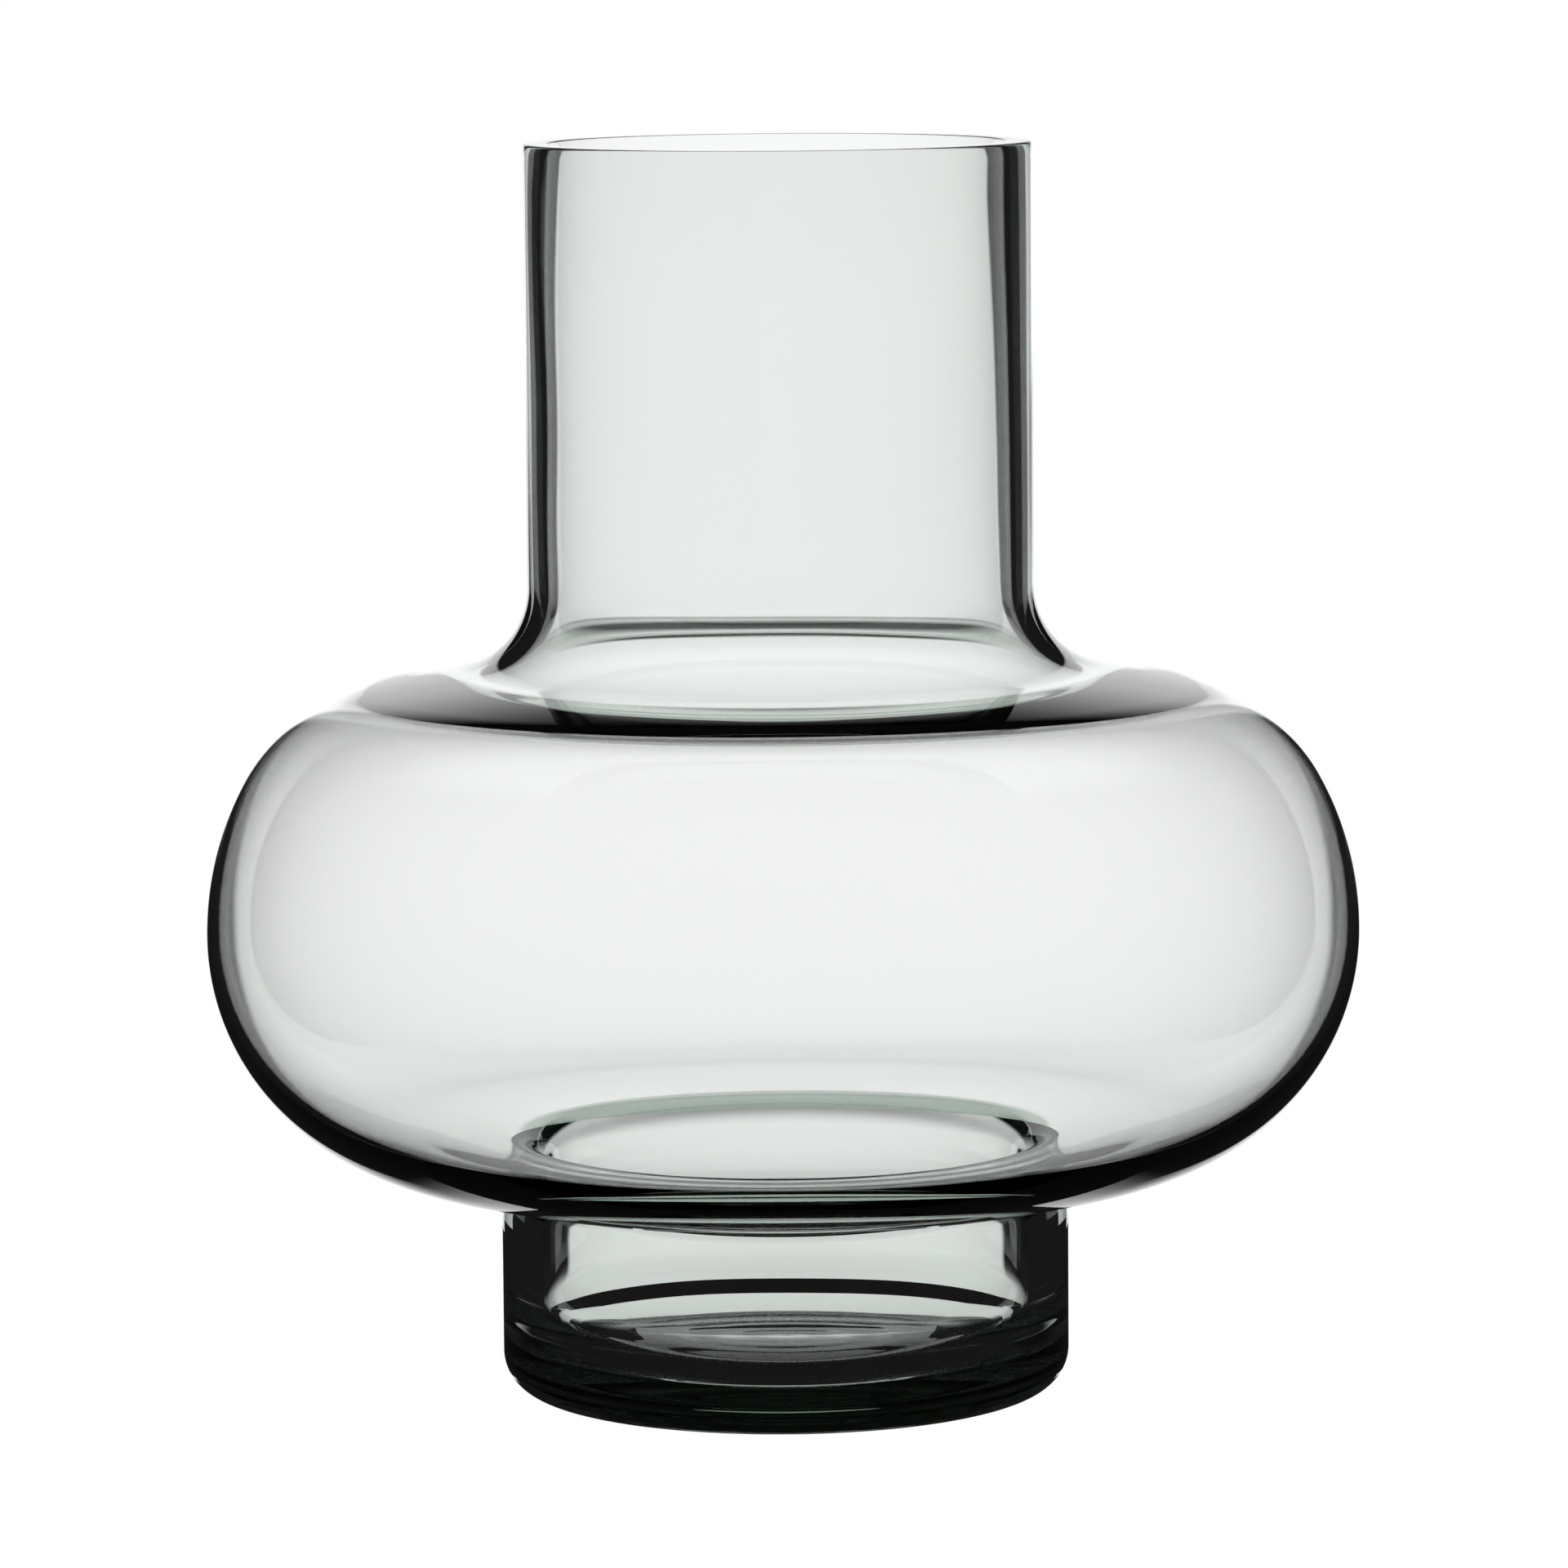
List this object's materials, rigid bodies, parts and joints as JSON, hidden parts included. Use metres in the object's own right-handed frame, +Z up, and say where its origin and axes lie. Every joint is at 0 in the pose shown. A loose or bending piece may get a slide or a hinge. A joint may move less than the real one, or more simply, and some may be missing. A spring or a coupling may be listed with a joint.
{
  "type": "glass bulb vase with cylindrical neck",
  "caption": "Clear glass vase with a straight round neck, a wide flattened bulb body and a short thick-walled foot.",
  "frame": {"origin": "centre of the base, on the table the foot stands on", "axes": "+Z up along the vase's axis towards the mouth; the vase is round, so +X and +Y are free"},
  "size_m": [0.304, 0.3038, 0.33],
  "materials": {
    "glass": "clear mouth-blown soda-lime glass, fire-smooth, with a ground and polished rim and base"
  },
  "bodies": {
    "root": {"glass_vessel": "glass"}
  },
  "joints": []
}
